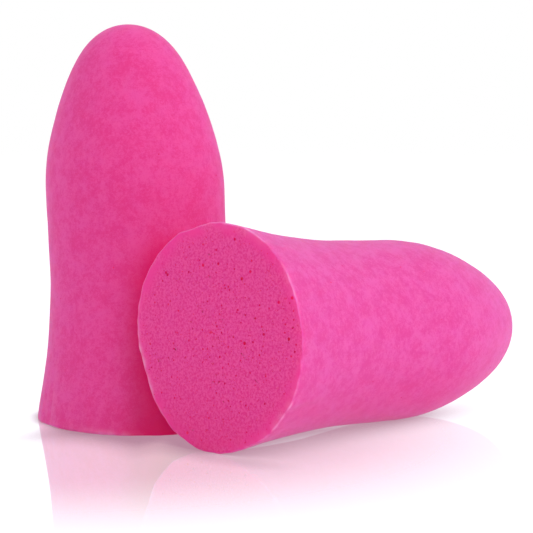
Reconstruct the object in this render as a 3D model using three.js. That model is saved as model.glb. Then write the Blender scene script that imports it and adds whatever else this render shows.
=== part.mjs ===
// A pair of bell-shaped foam ear plugs. Millimetres, +Z up.
// One plug stands on its cut end, and its mate lies on its side in front of it.
// The origin is the centre of the standing plug's cut end, on the surface that both rest on.
import * as THREE from "three";

// One plug, from its flat cut end at height 0 to its domed tip
const PLUG_LENGTH = 24;
const FLARE_RADIUS = 6.58; // at the cut end
const BARREL_RADIUS = 5.46; // the part that fills the ear canal
const FLARE_HEIGHT = 9; // where the flare has narrowed to the barrel
const DOME_HEIGHT = 13.8; // where the barrel starts to close over
const FLARE_POWER = 1.57; // above 1, the flare meets the barrel smoothly

// The dome is an ellipse made more pointed by these terms in the square and fourth power
// of the share of its height; with both at 0 it would be a plain ellipse
const DOME_SQUARE_TERM = -0.46;
const DOME_FOURTH_TERM = 0.51;

// Soft foam never sits quite square: the axis leans by this much for each millimetre of height
const STANDING_LEAN = { x: -0.039, y: 0.055 };
const LYING_LEAN = { x: 0, y: -0.023 };

// The lying plug has recovered a little fuller than its mate
const LYING_SWELL = 1.009;
const LYING_STRETCH = 1.022;

// Where the centre of the lying plug's cut end is, seen from above, and which way its tip points
const LYING_PLACE = { x: 4.67, y: -11.67 };
const LYING_HEADING = THREE.MathUtils.degToRad(46.8);

// Fineness
const FLARE_STEPS = 8;
const DOME_STEPS = 14;
const SIDES = 48;

const STANDING_PINK = 0xe8489a;
const LYING_PINK = 0xf25cae;

function flareRadius(height) {
  const remaining = 1 - height / FLARE_HEIGHT;
  return BARREL_RADIUS + (FLARE_RADIUS - BARREL_RADIUS) * remaining ** FLARE_POWER;
}

function domeRadius(height) {
  const share = ((height - DOME_HEIGHT) / (PLUG_LENGTH - DOME_HEIGHT)) ** 2;
  const pointing = 1 + DOME_SQUARE_TERM * share + DOME_FOURTH_TERM * share ** 2;
  return BARREL_RADIUS * Math.sqrt((1 - share) * pointing);
}

// Half of the plug's section: the cut end, the flare, the straight barrel, then the dome
function plugProfile() {
  const profile = [new THREE.Vector2(0, 0)];
  for (let step = 0; step < FLARE_STEPS; step += 1) {
    const height = (FLARE_HEIGHT * step) / FLARE_STEPS;
    profile.push(new THREE.Vector2(flareRadius(height), height));
  }
  profile.push(new THREE.Vector2(BARREL_RADIUS, FLARE_HEIGHT));
  for (let step = 0; step < DOME_STEPS; step += 1) {
    // The sine closes the steps up towards the tip, where the section bends most
    const share = Math.sin((step / DOME_STEPS) * (Math.PI / 2));
    const height = DOME_HEIGHT + (PLUG_LENGTH - DOME_HEIGHT) * share;
    profile.push(new THREE.Vector2(domeRadius(height), height));
  }
  profile.push(new THREE.Vector2(0, PLUG_LENGTH));
  return profile;
}

function plugGeometry(lean) {
  const geometry = new THREE.LatheGeometry(plugProfile(), SIDES);
  geometry.rotateX(Math.PI / 2);
  geometry.applyMatrix4(new THREE.Matrix4().makeShear(0, 0, 0, 0, lean.x, lean.y));
  return geometry;
}

function plugMesh(name, geometry, color) {
  const foam = new THREE.MeshStandardMaterial({ color, roughness: 0.9, metalness: 0 });
  const mesh = new THREE.Mesh(geometry, foam);
  mesh.name = name;
  return mesh;
}

function standingPlug() {
  return plugMesh("standing_plug", plugGeometry(STANDING_LEAN), STANDING_PINK);
}

// A plug on its side touches the surface at the rim of its cut end and along its barrel,
// so its tip dips below the level: this is the angle of its axis, negative for a dip.
function restingTilt() {
  const rim = FLARE_RADIUS * LYING_SWELL;
  const slopes = plugProfile()
    .filter((point) => point.y > 0)
    .map((point) => (point.x * LYING_SWELL - rim) / (point.y * LYING_STRETCH));
  return Math.atan(Math.max(...slopes));
}

function lyingPlug() {
  const tilt = restingTilt();
  const geometry = plugGeometry(LYING_LEAN);
  geometry.scale(LYING_SWELL, LYING_SWELL, LYING_STRETCH);
  const mesh = plugMesh("lying_plug", geometry, LYING_PINK);
  mesh.rotation.y = Math.PI / 2 - tilt;
  const place = new THREE.Group();
  place.add(mesh);
  place.rotation.z = LYING_HEADING;
  place.position.set(LYING_PLACE.x, LYING_PLACE.y, FLARE_RADIUS * LYING_SWELL * Math.cos(tilt));
  return place;
}

const earPlugs = new THREE.Group();
earPlugs.add(standingPlug(), lyingPlug());

export default earPlugs;
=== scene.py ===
# Two bell-shaped foam ear plugs: one stands on its cut end, and its mate lies in front of it.
# Metres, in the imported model's frame: +Z up, with the origin at the centre of the standing
# plug's cut end, on the surface that both plugs rest on.
import math
import random

import bmesh
import bpy
import numpy as np
from mathutils import Matrix, Vector, noise


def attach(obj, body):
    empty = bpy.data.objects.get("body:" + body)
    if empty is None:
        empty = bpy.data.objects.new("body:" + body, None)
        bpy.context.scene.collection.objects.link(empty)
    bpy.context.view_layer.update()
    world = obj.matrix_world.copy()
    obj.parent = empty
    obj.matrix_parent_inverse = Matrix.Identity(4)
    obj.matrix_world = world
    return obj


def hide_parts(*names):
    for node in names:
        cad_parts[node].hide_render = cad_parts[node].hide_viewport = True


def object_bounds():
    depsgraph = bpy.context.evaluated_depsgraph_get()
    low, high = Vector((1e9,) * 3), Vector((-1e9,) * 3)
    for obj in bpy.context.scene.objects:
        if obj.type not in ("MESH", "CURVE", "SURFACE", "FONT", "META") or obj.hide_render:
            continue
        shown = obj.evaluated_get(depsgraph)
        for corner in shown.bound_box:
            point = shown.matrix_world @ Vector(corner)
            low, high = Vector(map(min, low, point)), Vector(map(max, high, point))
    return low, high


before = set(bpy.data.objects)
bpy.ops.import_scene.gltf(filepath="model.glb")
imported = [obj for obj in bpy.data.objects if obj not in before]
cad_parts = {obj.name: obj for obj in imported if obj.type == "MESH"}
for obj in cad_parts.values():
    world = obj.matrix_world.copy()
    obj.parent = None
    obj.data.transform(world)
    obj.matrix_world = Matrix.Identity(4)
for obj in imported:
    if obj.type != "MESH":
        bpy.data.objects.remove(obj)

CAD_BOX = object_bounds()
MM = 0.001

# One plug in millimetres, from its cut end at height 0 to its tip: the driving dimensions of
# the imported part
PLUG_LENGTH = 24
FLARE_RADIUS = 6.58
BARREL_RADIUS = 5.46
FLARE_HEIGHT = 9
DOME_HEIGHT = 13.8
FLARE_POWER = 1.57
DOME_SQUARE_TERM = -0.46
DOME_FOURTH_TERM = 0.51

# How the plugs stand and lie. Each leans by a shift along X and Y for each millimetre of its
# height. The lying one is a little fuller and longer; its cut end is over the place given, and its
# tip points along the heading
STANDING_LEAN = (-0.039, 0.055)
LYING_LEAN = (0, -0.023)
LYING_SWELL = 1.009
LYING_STRETCH = 1.022
LYING_PLACE = (4.67, -11.67)
LYING_HEADING = math.radians(46.8)

# The unevenness of the foam, each bump as its height and its width in millimetres
SKIN_BUMPS = [(0.06, 6), (0.014, 1.4), (0.006, 0.4)]
FACE_BUMPS = [(0.035, 3.5), (0.012, 0.8)]
RIM_WOBBLE = (0.09, 1.6)
RIM_NICKS = (0.06, 0.55)

# Where the knife cut, the rim turns over on this radius. Its unevenness dies out up the skin over
# the first distance, and the rows of the mesh close up over the second
RIM_ROUNDING = 0.08
RIM_SETTLES_OVER = 3.2
ROWS_SETTLE_OVER = 2

# The skin stands up along the rim in a thin burr. In millimetres, how high it is, how wide, how far
# in from the edge, and up to what height on the plug it is looked for
BURR_HEIGHT = 0.05
BURR_WIDTH = 0.05
BURR_INSET = 0.05
BURR_BELOW = 0.3
# The share of it that is there all round, and how ragged it is: the millimetres across a jag, the
# usual share and its swing, and the limits that the share is kept within
BURR_LEAST = 0.15
BURR_JAG_SIZE = 0.6
BURR_JAGS = (0.75, 0.9)
BURR_LIMITS = (0.1, 1.4)

# How fine the mesh is: the columns round a plug, the millimetres from row to row up its skin, and
# the rows of the rim's rounding and of the cut end. The dome's curve is longer than the dome is
# high, so it has this many times the rows. Steeper folds than the angle stay sharp
COLUMNS = 288
SKIN_STEP = 0.13
DOME_CURVE = 1.25
ROUNDING_ROWS = 8
FACE_ROWS = 14
SHARP_ANGLE = math.radians(38)

# The bubbles that the cut opens up: how many, their least and greatest radius in millimetres, and
# how strongly they keep to the middle (0.5 is even). Their centres lie this many radii deep, and
# at least this many millimetres inside the edge
FACE_PORES = [(15, 0.085, 0.115, 0.6), (125, 0.05, 0.075, 0.75), (620, 0.034, 0.046, 0.66)]
PORE_DEPTH = (-0.5, 0.4)
PORE_MARGIN = 0.35
# The pinholes in the skin: how many, how high up the plug, their radius, and how many radii inside
# or outside the skin their centres lie
PINHOLES = 26
PINHOLE_HEIGHT = (0.5, 22)
PINHOLE_RADIUS = (0.03, 0.06)
PINHOLE_OFFSET = (-0.3, 0.3)
# Bubbles below this radius are made of fewer triangles
COARSE_RADIUS = 0.045

# What counts as cut foam, in millimetres: what is below one height and inside the edge by one
# distance, each with the width of its blend. The painted highlight along the burr, a pale pink,
# reaches this far from the rim, and further where the rim is pressed
CUT_HEIGHT = 0.3
CUT_HEIGHT_BLEND = 0.1
CUT_INSET = 0.02
CUT_INSET_BLEND = 0.06
BURR_HIGHLIGHT_REACH = 0.075
BURR_HIGHLIGHT_PRESSED = 0.3

# The studio: the table's white, how brightly it shows near the plugs and away from them, the tint
# of that and how brightly it lights them, how much of a mirror it is, the mirror's tint and the
# place where it is most of one, and the even fill light
FLOOR_WHITE = 0.15
FLOOR_GLOW = (1.23, 1.04)
GLOW_TINT = (0.97, 0.94, 1)
FLOOR_LIGHT = 0.8
MIRROR = 0.6
MIRROR_TINT = (0.95, 0.93, 1)
MIRROR_PLACE = (-4, -6)
FILL_LIGHT = 0.58
# In millimetres: the distances from that place over which the mirror fades and the table thins
# out into the white, and half the width of the table
MIRROR_FADE = (12, 33)
FLOOR_FADE = (90, 190)
FLOOR_REACH = 200

# The pink shade on the table where the foam closes it in. How far away the foam counts, in
# millimetres, and how fast the shade deepens: behind the plugs, in front of the standing one, in
# front of the lying one's cut end, and beside the lying one, which overhangs the table. The last
# is a power of the share that is closed in, and the others multiply it
SHADE_PINK = (0.48, 0.25, 0.34)
SHADE_BEHIND = (0.7, 1.5)
SHADE_BEFORE_STANDING = (5, 3.3)
SHADE_BEFORE_LYING = (3, 2.1)
SHADE_BESIDE = (3, 5)
# The stretches in millimetres over which one shade turns into the next. From the lying plug's cut
# end: to the right of its axis, along it towards its tip, and along it from the cut end. From the
# middle of the standing plug: along the heading of what is in front of it, and along X
TO_THE_RIGHT = (-1.5, 1.5)
TOWARDS_TIP = (6, 12)
FROM_CUT_END = (-2.5, 0.5)
FRONT_HEADING = math.radians(-65)
TO_THE_FRONT = (0, 4)
TO_THE_LYING_PLUG = (-0.5, 1.5)

# The soft lights: in metres how wide they are, how far from the plugs and how high above the table
# they aim, and then the azimuth and elevation of each in degrees and its power in watts
LIGHT_SIZE = 0.35
LIGHT_DISTANCE = 0.5
LIGHT_AIM_HEIGHT = 10 * MM
LIGHTS = [
    ("front_left", -45, 20, 0.13),
    ("front_right", 45, 20, 0.46),
    ("left", -90, 15, 0.13),
    ("top_left", -70, 50, 0.18),
    ("top_right", 70, 50, 0.73),
]

# The camera, fitted to the photograph: its place and its lens in millimetres, and its turns in
# radians
CAMERA_PLACE = (7.38, -179.73, 32.88)
CAMERA_LENS = 200.2
CAMERA_TURN = -0.00045
CAMERA_DIP = 0.13075
CAMERA_ROLL = -0.00503


# ---- The shape of a plug ----

def plug_radius(height):
    """The plug's radius at each height of an array, in millimetres."""
    remaining = np.clip(1 - height / FLARE_HEIGHT, 0, 1)
    flare = BARREL_RADIUS + (FLARE_RADIUS - BARREL_RADIUS) * remaining ** FLARE_POWER
    share = np.clip((height - DOME_HEIGHT) / (PLUG_LENGTH - DOME_HEIGHT), 0, 1) ** 2
    pointing = 1 + DOME_SQUARE_TERM * share + DOME_FOURTH_TERM * share ** 2
    return np.where(height < FLARE_HEIGHT, flare, BARREL_RADIUS * np.sqrt((1 - share) * pointing))


def rounds(points, scale, seed):
    """Smooth noise from -1 to 1 at each point, with features about scale millimetres across."""
    # Each seed reads another place in the noise
    shift = Vector((seed * 17.3, seed * -9.1, seed * 4.7))
    return np.array([noise.noise(Vector(p) / scale + shift) for p in points])


def bumps(points, sizes, seed):
    """The height in millimetres, at each point, of bumps of some heights and widths."""
    return sum(height * rounds(points, width, seed) for height, width in sizes)


def face_wave(points, seed):
    """How far the cut end rises at each point, in millimetres."""
    return bumps(points, FACE_BUMPS, seed + 1)


def skin_swell(points, seed):
    """How far the skin stands out at each point, in millimetres."""
    return bumps(points, SKIN_BUMPS, seed)


def round_rim(turn):
    """The point of an even rim at each angle of an array."""
    return np.stack([np.cos(turn), np.sin(turn), 0 * turn], axis=1) * FLARE_RADIUS


def stretch(turn, middle, spread):
    """1 in the middle of a stretch of the rim and near 0 away from it, at each angle of an array.
    The middle and the spread are in degrees."""
    gap = np.abs((turn - math.radians(middle) + math.pi) % (2 * math.pi) - math.pi)
    return np.exp(-((gap / math.radians(spread)) ** 2))


def rim_radius(turn, rim, seed):
    """The radius of the rim of the cut end, which isn't quite round, at each angle of an array."""
    waves = sum(size * np.cos(count * turn - phase) for count, size, phase in rim["waves"])
    even = round_rim(turn)
    uneven = bumps(even, [RIM_WOBBLE], seed + 3) + bumps(even, [RIM_NICKS], seed + 4)
    return FLARE_RADIUS + waves + uneven


def pressed_at(turn, rim):
    """1 where the rim has been pressed, so that it rolls off over a wider band, and 0 elsewhere."""
    return stretch(turn, rim["pressed_at"], rim["pressed_over"])


def rim_burr(turn, rim, seed):
    """How much of a burr stands up along the rim, from 0 to about 1, at each angle of an array."""
    strength = BURR_LEAST + 0 * turn
    for middle, spread, most in rim["burrs"]:
        strength += most * stretch(turn, middle, spread)
    usual, swing = BURR_JAGS
    share = usual + swing * rounds(round_rim(turn), BURR_JAG_SIZE, seed + 2)
    return strength * np.clip(share, *BURR_LIMITS)


def skin_heights():
    """The height of each row of the skin, from the rim's rounding to just below the tip."""
    rows = int(DOME_HEIGHT / SKIN_STEP)
    straight = np.linspace(0, DOME_HEIGHT, rows, endpoint=False)
    dome_rows = int(DOME_CURVE * (PLUG_LENGTH - DOME_HEIGHT) / SKIN_STEP)
    quarter = np.linspace(0, math.pi / 2, dome_rows, endpoint=False)
    return np.concatenate([straight, DOME_HEIGHT + (PLUG_LENGTH - DOME_HEIGHT) * np.sin(quarter)])


def plug_points(seed, rim):
    """The plug's points in its own frame, in millimetres, row by row from the middle of its cut
    end over the rim to the tip, with the unevenness of cut, moulded foam."""
    turn = np.linspace(0, 2 * math.pi, COLUMNS, endpoint=False)[None, :]
    edge = rim_radius(turn[0], rim, seed)[None, :]
    pressed = pressed_at(turn, rim)
    across = RIM_ROUNDING + rim["roll_width"] * pressed
    down = RIM_ROUNDING + rim["roll_drop"] * pressed
    out = np.linspace(0, 1, FACE_ROWS + 1)[1:, None]
    bend = np.linspace(0, math.pi / 2, ROUNDING_ROWS + 1)[1:-1, None]
    foot = skin_heights()[:, None]
    height = foot + down * np.clip(1 - foot / ROWS_SETTLE_OVER, 0, 1)
    settle = np.exp(-((height / RIM_SETTLES_OVER) ** 2))
    radii = [
        out * (edge - across),
        edge - across * (1 - np.sin(bend)),
        plug_radius(height) + (edge - plug_radius(down)) * settle / settle[0],
    ]
    heights = [0 * out * edge, down * (1 - np.cos(bend)), height]
    radius, height = np.vstack(radii), np.vstack(heights)
    burr = BURR_HEIGHT * rim_burr(turn[0], rim, seed)[None, :]
    ridge = np.exp(-(((edge - BURR_INSET - radius) / BURR_WIDTH) ** 2))
    height = height - burr * ridge * (height < BURR_BELOW)
    grid = np.stack([radius * np.cos(turn), radius * np.sin(turn), height], axis=2)
    points = grid.reshape(-1, 3)
    on_face = np.arange(len(points)) < FACE_ROWS * COLUMNS
    outward = points * [1, 1, 0]
    outward /= np.maximum(np.linalg.norm(outward, axis=1, keepdims=True), 1e-9)
    wave = np.where(on_face, face_wave(points, seed), 0)
    points = points + np.where(on_face, 0, skin_swell(points, seed))[:, None] * outward
    points[:, 2] += wave
    return points


def plug_mesh(name, points):
    """A closed mesh over rows of points, with a point on the axis at each end."""
    count = len(points) // COLUMNS
    ring = np.arange(COLUMNS)
    following = (ring + 1) % COLUMNS
    quads = [
        np.stack([a + ring, a + following, b + following, b + ring], axis=1)
        for a, b in ((row * COLUMNS, (row + 1) * COLUMNS) for row in range(count - 1))
    ]
    base, tip = len(points), len(points) + 1
    last = (count - 1) * COLUMNS
    faces = [(base, int(b), int(a)) for a, b in zip(ring, following)]
    faces += [tuple(int(v) for v in quad) for quad in np.concatenate(quads)]
    faces += [(last + int(a), last + int(b), tip) for a, b in zip(ring, following)]
    centre = points[:COLUMNS].mean(axis=0)
    ends = [centre, [points[last:, 0].mean(), points[last:, 1].mean(), PLUG_LENGTH]]
    mesh = bpy.data.meshes.new(name)
    mesh.from_pydata(np.vstack([points, ends]).tolist(), [], faces)
    return mesh


def pores(seed):
    """Centre and radius, in millimetres, of each bubble that the cut and the skin open up."""
    draw = random.Random(seed)
    found = []

    def on_face(count, low, high, spread):
        for _ in range(count):
            radius = draw.uniform(low, high)
            away = (FLARE_RADIUS - PORE_MARGIN) * draw.random() ** spread
            turn = draw.uniform(0, 2 * math.pi)
            depth = draw.uniform(*PORE_DEPTH) * radius
            place = np.array([[away * math.cos(turn), away * math.sin(turn), 0]])
            depth += float(face_wave(place, seed)[0])
            found.append((place[0, 0], place[0, 1], depth, radius))

    for group in FACE_PORES:
        on_face(*group)
    for _ in range(PINHOLES):
        height = draw.uniform(*PINHOLE_HEIGHT)
        turn = draw.uniform(0, 2 * math.pi)
        radius = draw.uniform(*PINHOLE_RADIUS)
        away = float(plug_radius(np.array(height)))
        place = np.array([[away * math.cos(turn), away * math.sin(turn), height]])
        away += float(skin_swell(place, seed)[0]) + draw.uniform(*PINHOLE_OFFSET) * radius
        found.append((away * math.cos(turn), away * math.sin(turn), height, radius))
    return found


def ball(fineness):
    """The points and triangles of a ball of radius 1."""
    shape = bmesh.new()
    bmesh.ops.create_icosphere(shape, subdivisions=fineness, radius=1)
    corners = np.array([v.co for v in shape.verts])
    triangles = np.array([[v.index for v in face.verts] for face in shape.faces])
    shape.free()
    return corners, triangles


def bubbles(name, places):
    """One mesh of all the bubbles."""
    coarse, fine = ball(1), ball(2)
    points, faces = [], []
    start = 0
    for x, y, z, radius in places:
        corners, triangles = coarse if radius < COARSE_RADIUS else fine
        points.append(corners * radius + [x, y, z])
        faces.append(triangles + start)
        start += len(corners)
    mesh = bpy.data.meshes.new(name)
    mesh.from_pydata(np.vstack(points).tolist(), [], np.vstack(faces).tolist())
    inside = mesh.attributes.new("in_pore", "FLOAT", "POINT")
    inside.data.foreach_set("value", np.ones(start))
    return mesh


def add_object(name, mesh):
    """An object of a mesh, in the scene."""
    thing = bpy.data.objects.new(name, mesh)
    bpy.context.scene.collection.objects.link(thing)
    return thing


def cut_out(thing, cutter_mesh):
    """Cuts a mesh out of an object for good."""
    cutter = add_object("cutter", cutter_mesh)
    boolean = thing.modifiers.new("pores", "BOOLEAN")
    boolean.operation = "DIFFERENCE"
    boolean.solver = "MANIFOLD"
    boolean.object = cutter
    graph = bpy.context.evaluated_depsgraph_get()
    cut = bpy.data.meshes.new_from_object(thing.evaluated_get(graph))
    thing.modifiers.clear()
    thing.data = cut
    bpy.data.objects.remove(cutter)
    drop_scraps(cut)


def drop_scraps(mesh):
    """Keeps the one body of a mesh that has the most points, and deletes loose scraps."""
    shape = bmesh.new()
    shape.from_mesh(mesh)
    waiting, bodies = set(shape.verts), []
    while waiting:
        body = edge = {waiting.pop()}
        while edge:
            edge = {link.other_vert(v) for v in edge for link in v.link_edges} - body
            body |= edge
        waiting -= body
        bodies.append(body)
    bodies.sort(key=len)
    bmesh.ops.delete(shape, geom=[v for body in bodies[:-1] for v in body], context="VERTS")
    shape.to_mesh(mesh)
    shape.free()


def foam_plug(name, node, body, seed, rim, placing, skin, crease_shade_painting):
    """Adds a whole plug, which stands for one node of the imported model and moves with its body."""
    thing = add_object(name, plug_mesh(name, plug_points(seed, rim)))
    cut_out(thing, bubbles(name + "_bubbles", pores(seed)))
    mesh = thing.data
    place = np.empty(len(mesh.vertices) * 3)
    mesh.vertices.foreach_get("co", place)
    place = place.reshape(-1, 3)
    mark_zones(mesh, place, rim, seed)
    world = placing(place) * MM
    # The foam gives a little where it rests, so nothing reaches below the surface
    world[:, 2] = np.maximum(world[:, 2], 0)
    mesh.vertices.foreach_set("co", world.ravel())
    mesh.polygons.foreach_set("use_smooth", [True] * len(mesh.polygons))
    mesh.set_sharp_from_angle(angle=SHARP_ANGLE)
    mesh.update()
    mesh.materials.clear()
    mesh.materials.append(foam_material(name, skin, crease_shade_painting))
    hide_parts(node)
    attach(thing, body)


def mark_zones(mesh, place, rim, seed):
    """Stores for the material how far each point is from the rim of the cut end in millimetres,
    whether it is cut foam (1) or moulded skin (0), and how much of the painted highlight along
    the rim's burr is on it."""
    turn = np.arctan2(place[:, 1], place[:, 0])
    edge = rim_radius(turn, rim, seed)
    inward = edge - np.hypot(place[:, 0], place[:, 1])
    low = np.clip((CUT_HEIGHT - place[:, 2]) / CUT_HEIGHT_BLEND, 0, 1)
    cut = low * np.clip((inward - CUT_INSET) / CUT_INSET_BLEND, 0, 1)
    from_rim = np.hypot(inward, place[:, 2])
    # Painted highlight: how much of the pale line along the burr shows at each point
    highlight_reach = BURR_HIGHLIGHT_REACH + BURR_HIGHLIGHT_PRESSED * pressed_at(turn, rim)
    burr = rim_burr(turn, rim, seed) * np.exp(-((from_rim / highlight_reach) ** 2))
    for name, values in (("from_rim", from_rim), ("cut_face", cut), ("burr", burr)):
        zone = mesh.attributes.new(name, "FLOAT", "POINT")
        zone.data.foreach_set("value", values)


# ---- Where each plug is ----

def standing(points):
    placed = points.copy()
    placed[:, 0] += STANDING_LEAN[0] * points[:, 2]
    placed[:, 1] += STANDING_LEAN[1] * points[:, 2]
    return placed


def lying_tilt():
    """The angle of the axis of a plug that rests on its rim and its barrel, negative for a dip."""
    # It could touch the table at any height but at its very ends
    heights = np.linspace(0.5, PLUG_LENGTH - 0.5, 200)
    rise = (plug_radius(heights) - FLARE_RADIUS) * LYING_SWELL / (heights * LYING_STRETCH)
    return math.atan(rise.max())


def lying(points):
    tilt = lying_tilt()
    local = points.copy()
    local[:, 0] += LYING_LEAN[0] * points[:, 2]
    local[:, 1] += LYING_LEAN[1] * points[:, 2]
    local *= [LYING_SWELL, LYING_SWELL, LYING_STRETCH]
    turn = Matrix.Rotation(LYING_HEADING, 3, "Z") @ Matrix.Rotation(math.pi / 2 - tilt, 3, "Y")
    rise = FLARE_RADIUS * LYING_SWELL * math.cos(tilt)
    return local @ np.array(turn).T + [LYING_PLACE[0], LYING_PLACE[1], rise]


# ---- Materials ----

def new_material(name):
    material = bpy.data.materials.new(name)
    material.use_nodes = True
    material.node_tree.nodes.clear()
    return material, material.node_tree.nodes, material.node_tree.links


def noise_node(nodes, links, coordinates, size, detail, roughness=0.5):
    """Noise whose largest features are about size millimetres across."""
    node = nodes.new("ShaderNodeTexNoise")
    node.inputs["Scale"].default_value = 1 / (size * MM)
    node.inputs["Detail"].default_value = detail
    node.inputs["Roughness"].default_value = roughness
    links.new(coordinates, node.inputs["Vector"])
    return node.outputs["Fac"]


def range_node(nodes, links, value, start, end):
    """0 at start and 1 at end, and smooth between them."""
    node = nodes.new("ShaderNodeMapRange")
    node.interpolation_type = "SMOOTHSTEP"
    node.inputs["From Min"].default_value = start
    node.inputs["From Max"].default_value = end
    links.new(value, node.inputs["Value"])
    return node.outputs["Result"]


def mottle_node(nodes, links, coordinates, mottling):
    """0 where the foam is deep in colour and 1 where it is pale, and smooth between them."""
    size, detail, roughness, deep, pale = mottling
    spots = noise_node(nodes, links, coordinates, size, detail, roughness)
    return range_node(nodes, links, spots, deep, pale)


def math_node(nodes, links, operation, first, second):
    """A sum, a product or the like of two values, each of them a socket or a number."""
    node = nodes.new("ShaderNodeMath")
    node.operation = operation
    for place, value in enumerate((first, second)):
        if isinstance(value, (int, float)):
            node.inputs[place].default_value = value
        else:
            links.new(value, node.inputs[place])
    return node.outputs["Value"]


def mix_node(nodes, links, factor, first, second):
    """A mix of two colours, each of them a socket or three numbers."""
    node = nodes.new("ShaderNodeMix")
    node.data_type = "RGBA"
    links.new(factor, node.inputs["Factor"])
    for name, colour in (("A", first), ("B", second)):
        if isinstance(colour, tuple):
            node.inputs[name].default_value = (*colour, 1)
        else:
            links.new(colour, node.inputs[name])
    return node.outputs["Result"]


# Linear colours, each as the deep and the pale of its mottling: the skin of each plug and the cut
# foam. The plugs are one foam, and their skins differ only as painted light: the lying plug's is
# paler for the stronger light that falls on it
STANDING_SKIN_AS_LIT = ((0.83, 0.032, 0.285), (0.88, 0.078, 0.385))
LYING_SKIN_AS_LIT = ((0.81, 0.046, 0.33), (0.865, 0.098, 0.44))
CUT_FOAM = ((0.85, 0.02, 0.275), (0.92, 0.077, 0.375))
# Painted light and shade: the hotter pink near the rim of the cut end
CUT_EDGE_PAINTED_LIGHT = (0.93, 0.026, 0.33)
# Painted highlight: the pale pink line along the rim's burr, where it catches the light
RIM_PAINTED_HIGHLIGHT = (1, 0.36, 0.66)
# Painted shade: the deeper crimson in the hollows of the bubbles
PORE_PAINTED_SHADE = (0.93, 0.002, 0.14)
# Painted shade: where other foam closes it in, as in the crease between the plugs, the colour is
# painted a hotter, deeper pink, for the shade there and the light that bounces between the pink
# walls. How many millimetres away a wall counts, the open shares where the painted shade starts
# and ends, and its strength
PAINTED_CREASE_SHADE = (0.84, 0.0003, 0.2)
STANDING_PAINTED_CREASE_SHADE = (3, 0.93, 0.71, 1)
LYING_PAINTED_CREASE_SHADE = (6, 0.97, 0.4, 0.35)
# The plugs face each other to the right of this stretch of X, in millimetres, and the painted
# shade is kept to there
PAINTED_CREASE_SHADE_SIDE = (-2, 0.5)

# The mottling, each as the millimetres across its largest features, its detail, its roughness, and
# the values of its noise that are all deep and all pale
SKIN_MOTTLE = (1.3, 6, 1.0, 0.4, 0.6)
FOAM_CELLS = (0.14, 2, 0.7, 0.36, 0.64)
EDGE_PAINTED_LIGHT_PATCHES = (1.6, 2, 0.5, 0.38, 0.6)
# Painted light and shade: near its rim the cut end is painted a hotter pink, for light that glows
# through the thin edge and for the deeper shade where it curves under. The pink begins and is whole
# at these distances from the rim
EDGE_PAINTED_LIGHT_REACH = (1.1, 0.1)
# The grain of the surface, in millimetres: its width, and its depth at full strength
GRAIN_SIZE = 0.16
GRAIN_DEPTH = 0.02
# How far light scatters under the surface: a depth in millimetres, and red, green and blue as
# shares of it
SCATTER_DEPTH = 0.6
SCATTER_SHARES = (1, 0.12, 0.35)
SHEEN_PINK = (1, 0.75, 0.9)


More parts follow.
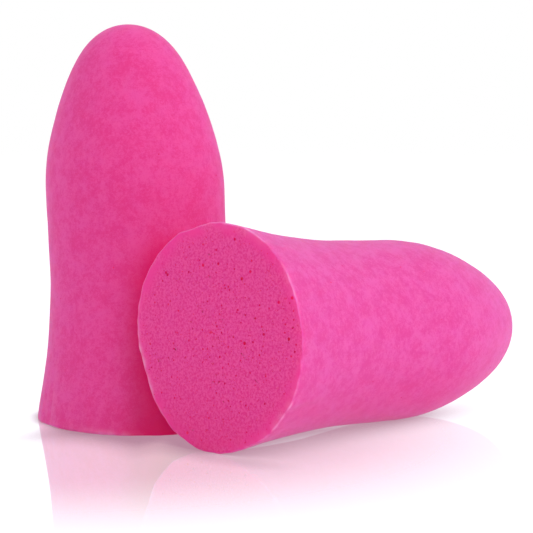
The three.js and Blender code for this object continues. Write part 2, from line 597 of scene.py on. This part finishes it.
def foam_material(name, skin, crease_shade_painting):
    material, nodes, links = new_material(name)
    output = nodes.new("ShaderNodeOutputMaterial")
    shader = nodes.new("ShaderNodeBsdfPrincipled")
    links.new(shader.outputs["BSDF"], output.inputs["Surface"])
    here = nodes.new("ShaderNodeTexCoord").outputs["Object"]
    zones = {}
    for zone in ("cut_face", "from_rim", "in_pore", "burr"):
        node = nodes.new("ShaderNodeAttribute")
        node.attribute_name = zone
        zones[zone] = node.outputs["Fac"]

    # The skin is mottled at every scale, and the cut foam mostly at the scale of its cells
    mottle = mottle_node(nodes, links, here, SKIN_MOTTLE)
    cells = mottle_node(nodes, links, here, FOAM_CELLS)
    # Each plug's skin colour carries painted light: the lying plug's is paler
    skin_colour = mix_node(nodes, links, mottle, *skin)
    cut_colour = mix_node(nodes, links, cells, *CUT_FOAM)
    # Painted light and shade: a hotter pink near the rim of the cut end, in patches
    painted_edge_light = range_node(nodes, links, zones["from_rim"], *EDGE_PAINTED_LIGHT_REACH)
    patches = mottle_node(nodes, links, here, EDGE_PAINTED_LIGHT_PATCHES)
    painted_edge_light = math_node(nodes, links, "MULTIPLY", painted_edge_light, patches)
    cut_colour = mix_node(nodes, links, painted_edge_light, cut_colour, CUT_EDGE_PAINTED_LIGHT)
    colour = mix_node(nodes, links, zones["cut_face"], skin_colour, cut_colour)
    # Painted shade: the hollows of the bubbles a deeper crimson
    colour = mix_node(nodes, links, zones["in_pore"], colour, PORE_PAINTED_SHADE)
    # Painted highlight: a pale pink line along the rim's burr
    colour = mix_node(nodes, links, zones["burr"], colour, RIM_PAINTED_HIGHLIGHT)

    # Painted shade: a deeper, hotter pink where foam closes it in, towards the other plug
    occlusion = nodes.new("ShaderNodeAmbientOcclusion")
    occlusion.samples = 6
    reach, begins, ends, strength = crease_shade_painting
    occlusion.inputs["Distance"].default_value = reach * MM
    closed = range_node(nodes, links, occlusion.outputs["AO"], begins, ends)
    closed = math_node(nodes, links, "MULTIPLY", closed, strength)
    apart = nodes.new("ShaderNodeSeparateXYZ")
    links.new(here, apart.inputs["Vector"])
    facing = range_node(nodes, links, apart.outputs["X"], PAINTED_CREASE_SHADE_SIDE[0] * MM, PAINTED_CREASE_SHADE_SIDE[1] * MM)
    closed = math_node(nodes, links, "MULTIPLY", closed, facing)
    colour = mix_node(nodes, links, closed, colour, PAINTED_CREASE_SHADE)
    links.new(colour, shader.inputs["Base Color"])

    shader.inputs["Subsurface Weight"].default_value = 1
    shader.inputs["Subsurface Radius"].default_value = SCATTER_SHARES
    shader.inputs["Subsurface Scale"].default_value = SCATTER_DEPTH * MM
    shader.inputs["Roughness"].default_value = 0.8
    shader.inputs["Specular IOR Level"].default_value = 0.5
    shader.inputs["Sheen Weight"].default_value = 0.26
    shader.inputs["Sheen Roughness"].default_value = 0.4
    shader.inputs["Sheen Tint"].default_value = (*SHEEN_PINK, 1)
    bump = nodes.new("ShaderNodeBump")
    bump.inputs["Strength"].default_value = 0.35
    bump.inputs["Distance"].default_value = GRAIN_DEPTH * MM
    links.new(noise_node(nodes, links, here, GRAIN_SIZE, 3), bump.inputs["Height"])
    links.new(bump.outputs["Normal"], shader.inputs["Normal"])
    return material


def distance_node(nodes, links, place):
    """How far a point of the floor is, in metres, from a place on it in millimetres."""
    node = nodes.new("ShaderNodeVectorMath")
    node.operation = "DISTANCE"
    node.inputs[1].default_value = (place[0] * MM, place[1] * MM, 0)
    links.new(nodes.new("ShaderNodeTexCoord").outputs["Object"], node.inputs[0])
    return node.outputs["Value"]


def mix_shader_node(nodes, links, factor, first, second):
    """A mix of two shaders, the first of them at factor 0."""
    node = nodes.new("ShaderNodeMixShader")
    links.new(factor, node.inputs["Fac"])
    links.new(first, node.inputs[1])
    links.new(second, node.inputs[2])
    return node.outputs["Shader"]


def seen_node(nodes, links):
    """1 for what is looked at, or seen in the table's mirror, and 0 for what lights the scene."""
    rays = nodes.new("ShaderNodeLightPath").outputs
    return math_node(nodes, links, "MAXIMUM", rays["Is Camera Ray"], rays["Is Singular Ray"])


def beyond_node(nodes, links, place, heading, limits):
    """0 up to one limit and 1 from the other, each of them in millimetres along a heading from a
    place on the floor."""
    along = nodes.new("ShaderNodeVectorMath")
    along.operation = "DOT_PRODUCT"
    along.inputs[1].default_value = (math.cos(heading), math.sin(heading), 0)
    links.new(nodes.new("ShaderNodeTexCoord").outputs["Object"], along.inputs[0])
    origin = place[0] * math.cos(heading) + place[1] * math.sin(heading)
    start, end = ((origin + limit) * MM for limit in limits)
    return range_node(nodes, links, along.outputs["Value"], start, end)


def floor_shade(nodes, links):
    """How much light is left on the table where the foam closes it in, and 1 in the open."""
    def value(operation, first, second):
        return math_node(nodes, links, operation, first, second)

    def blend(share, first, second):
        return value("ADD", first, value("MULTIPLY", share, value("SUBTRACT", second, first)))

    rightwards = LYING_HEADING - math.pi / 2
    right = beyond_node(nodes, links, LYING_PLACE, rightwards, TO_THE_RIGHT)
    by_tip = beyond_node(nodes, links, LYING_PLACE, LYING_HEADING, TOWARDS_TIP)
    along = beyond_node(nodes, links, LYING_PLACE, LYING_HEADING, FROM_CUT_END)
    beside = value("MULTIPLY", along, value("MAXIMUM", right, by_tip))
    in_front = beyond_node(nodes, links, (0, 0), FRONT_HEADING, TO_THE_FRONT)
    before_lying = beyond_node(nodes, links, (0, 0), 0, TO_THE_LYING_PLUG)
    before = [blend(before_lying, *pair) for pair in zip(SHADE_BEFORE_STANDING, SHADE_BEFORE_LYING)]
    walls = [blend(in_front, *pair) for pair in zip(SHADE_BEHIND, before)]
    reach = blend(beside, walls[0], SHADE_BESIDE[0])
    open_sky = nodes.new("ShaderNodeAmbientOcclusion")
    links.new(value("MULTIPLY", reach, MM), open_sky.inputs["Distance"])
    closed = value("SUBTRACT", 1, open_sky.outputs["AO"])
    by_wall = value("MAXIMUM", value("SUBTRACT", 1, value("MULTIPLY", closed, walls[1])), 0)
    by_side = value("SUBTRACT", 1, value("POWER", closed, SHADE_BESIDE[1]))
    return blend(beside, by_wall, by_side)


def floor_material():
    """A white table that glows, with a mirror image that fades away from the plugs."""
    material, nodes, links = new_material("white_floor")
    output = nodes.new("ShaderNodeOutputMaterial")
    white = nodes.new("ShaderNodeBsdfPrincipled")
    white.inputs["Base Color"].default_value = (FLOOR_WHITE, FLOOR_WHITE, FLOOR_WHITE, 1)
    white.inputs["Roughness"].default_value = 1
    white.inputs["Specular IOR Level"].default_value = 0
    white.inputs["Emission Color"].default_value = (*GLOW_TINT, 1)
    gloss = nodes.new("ShaderNodeBsdfGlossy")
    gloss.inputs["Roughness"].default_value = 0
    gloss.inputs["Color"].default_value = (*MIRROR_TINT, 1)
    away = distance_node(nodes, links, MIRROR_PLACE)
    fade = range_node(nodes, links, away, MIRROR_FADE[0] * MM, MIRROR_FADE[1] * MM)
    near, far = FLOOR_GLOW
    change = math_node(nodes, links, "MULTIPLY", fade, far - near)
    glow = math_node(nodes, links, "ADD", near, change)
    # It shows brighter than it lights the foam
    extra = math_node(nodes, links, "SUBTRACT", glow, FLOOR_LIGHT)
    shown = math_node(nodes, links, "MULTIPLY", seen_node(nodes, links), extra)
    glow = math_node(nodes, links, "ADD", shown, FLOOR_LIGHT)
    links.new(glow, white.inputs["Emission Strength"])
    lost = math_node(nodes, links, "MULTIPLY", fade, MIRROR)
    mirror = math_node(nodes, links, "SUBTRACT", MIRROR, lost)
    surface = mix_shader_node(nodes, links, mirror, white.outputs["BSDF"], gloss.outputs["BSDF"])
    # In the shade the table keeps the pink that the foam throws on it
    bounce = nodes.new("ShaderNodeEmission")
    bounce.inputs["Color"].default_value = (*SHADE_PINK, 1)
    light_left = floor_shade(nodes, links)
    surface = mix_shader_node(nodes, links, light_left, bounce.outputs["Emission"], surface)
    # The table has no edge: it thins out into the white all round it
    clear = nodes.new("ShaderNodeBsdfTransparent").outputs["BSDF"]
    thin = range_node(nodes, links, away, FLOOR_FADE[0] * MM, FLOOR_FADE[1] * MM)
    surface = mix_shader_node(nodes, links, thin, surface, clear)
    links.new(surface, output.inputs["Surface"])
    return material


# ---- The plugs ----

# Each wave of a rim: how many lobes it has round the plug, how high they are in millimetres, and
# where its first crest is. One side of each rim has been pressed and rolls off more, and each
# burr has its angle, its spread and its height.
STANDING_RIM = {
    "waves": [(2, 0.05, 0.4), (3, 0.04, 2.0), (5, 0.02, 1.1)],
    "pressed_at": 230,
    "pressed_over": 30,
    "roll_width": 0.1,
    "roll_drop": 0.08,
    "burrs": [(20, 30, 0.7), (150, 25, 0.6), (265, 20, 0.8)],
}
LYING_RIM = {
    "waves": [(1, 0.098, 2.4), (2, 0.064, 4.49), (3, 0.035, 5.85), (4, 0.043, 1.46)],
    "pressed_at": 70,
    "pressed_over": 30,
    "roll_width": 0.5,
    "roll_drop": 0.22,
    "burrs": [(70, 28, 0.8), (190, 18, 0.8), (240, 12, 0.6), (312, 22, 1.0)],
}
foam_plug("standing_foam_plug", "standing_plug", "standing_plug_body", 1, STANDING_RIM, standing,
          STANDING_SKIN_AS_LIT, STANDING_PAINTED_CREASE_SHADE)
foam_plug("lying_foam_plug", "lying_plug", "lying_plug_body", 2, LYING_RIM, lying,
          LYING_SKIN_AS_LIT, LYING_PAINTED_CREASE_SHADE)


# ---- Floor, light and camera ----

def add_floor():
    size = FLOOR_REACH * MM
    mesh = bpy.data.meshes.new("floor")
    corners = [(-size, -size, 0), (size, -size, 0), (size, size, 0), (-size, size, 0)]
    mesh.from_pydata(corners, [], [(0, 1, 2, 3)])
    mesh.materials.append(floor_material())
    add_object("floor", mesh)


def add_light(name, azimuth, elevation, power):
    """A square soft light that faces the plugs. Azimuth 0 is the camera's side and 90 the right."""
    low, high = CAD_BOX
    middle = Vector(((low[0] + high[0]) / 2, (low[1] + high[1]) / 2, LIGHT_AIM_HEIGHT))
    across, up = math.radians(azimuth), math.radians(elevation)
    level = math.cos(up)
    towards = Vector((math.sin(across) * level, -math.cos(across) * level, math.sin(up)))
    data = bpy.data.lights.new(name, "AREA")
    data.size = LIGHT_SIZE
    data.energy = power
    light = bpy.data.objects.new(name, data)
    light.location = middle + LIGHT_DISTANCE * towards
    light.rotation_euler = (-towards).to_track_quat("-Z", "Y").to_euler()
    bpy.context.scene.collection.objects.link(light)


def add_world():
    """White to look at and in the table's mirror, and a weak even light on the foam."""
    world = bpy.data.worlds.new("white_studio")
    world.use_nodes = True
    nodes, links = world.node_tree.nodes, world.node_tree.links
    background = nodes["Background"]
    background.inputs["Color"].default_value = (1, 1, 1, 1)
    strength = nodes.new("ShaderNodeMix")
    strength.data_type = "FLOAT"
    strength.inputs["A"].default_value = FILL_LIGHT
    strength.inputs["B"].default_value = 1
    links.new(seen_node(nodes, links), strength.inputs["Factor"])
    links.new(strength.outputs["Result"], background.inputs["Strength"])
    bpy.context.scene.world = world


def add_camera():
    data = bpy.data.cameras.new("camera")
    data.sensor_width = 36
    data.lens = CAMERA_LENS
    data.clip_start = 0.01
    data.clip_end = 20
    camera = bpy.data.objects.new("camera", data)
    camera.location = [distance * MM for distance in CAMERA_PLACE]
    level = Matrix.Rotation(math.pi / 2 - CAMERA_DIP, 3, "X")
    aim = Matrix.Rotation(CAMERA_TURN, 3, "Z") @ level
    camera.rotation_euler = (aim @ Matrix.Rotation(CAMERA_ROLL, 3, "Z")).to_euler()
    bpy.context.scene.collection.objects.link(camera)
    bpy.context.scene.camera = camera


add_floor()
for light in LIGHTS:
    add_light(*light)
add_world()
add_camera()
bpy.context.scene.view_settings.view_transform = "Standard"
